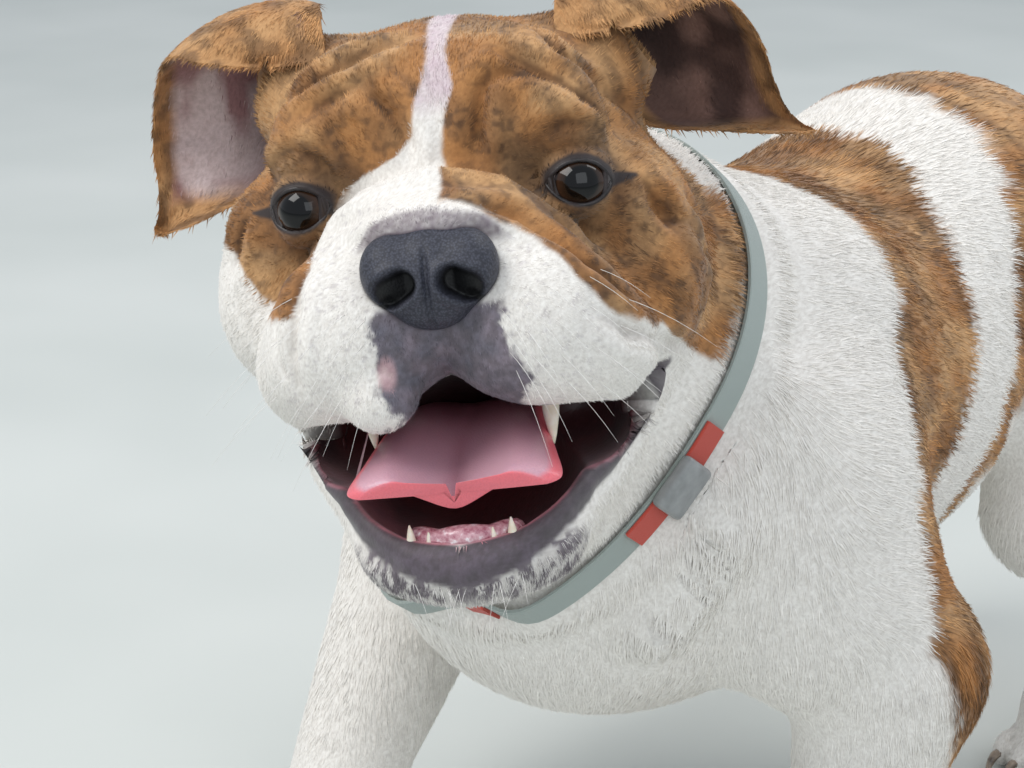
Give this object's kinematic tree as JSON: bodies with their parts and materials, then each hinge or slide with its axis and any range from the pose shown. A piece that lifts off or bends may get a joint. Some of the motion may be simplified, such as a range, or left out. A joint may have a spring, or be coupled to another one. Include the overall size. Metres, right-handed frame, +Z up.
{
  "type": "english bulldog",
  "caption": "Life-size English bulldog standing in mid-stride, head turned to its left, mouth open with the tongue out, short brindle and white coat, narrow collar.",
  "frame": {"origin": "on the floor, below the middle of the animal's bounding box", "axes": "+Z up, +Y towards the tail, +X to the dog's left"},
  "size_m": [0.3444, 0.6528, 0.4847],
  "materials": {
    "coat": "short smooth fur, white with brindle patches",
    "dark_skin": "moist dark leather",
    "tongue": "wet pink",
    "eye": "wet dark brown",
    "strap": "woven webbing",
    "clasp": "matte moulded"
  },
  "bodies": {
    "root": {"head": "coat", "lower_jaw": "coat", "nose": "dark_skin", "tongue": "tongue", "eye_left": "eye", "eye_right": "eye", "ear_left": "coat", "ear_right": "coat", "torso": "coat", "neck": "coat", "collar": "strap", "collar_clasp": "clasp", "foreleg_left": "coat", "forepaw_left": "coat", "foreleg_right": "coat", "forepaw_right": "coat", "hindleg_left": "coat", "hindpaw_left": "coat", "hindleg_right": "coat", "hindpaw_right": "coat", "tail": "coat"}
  },
  "joints": []
}
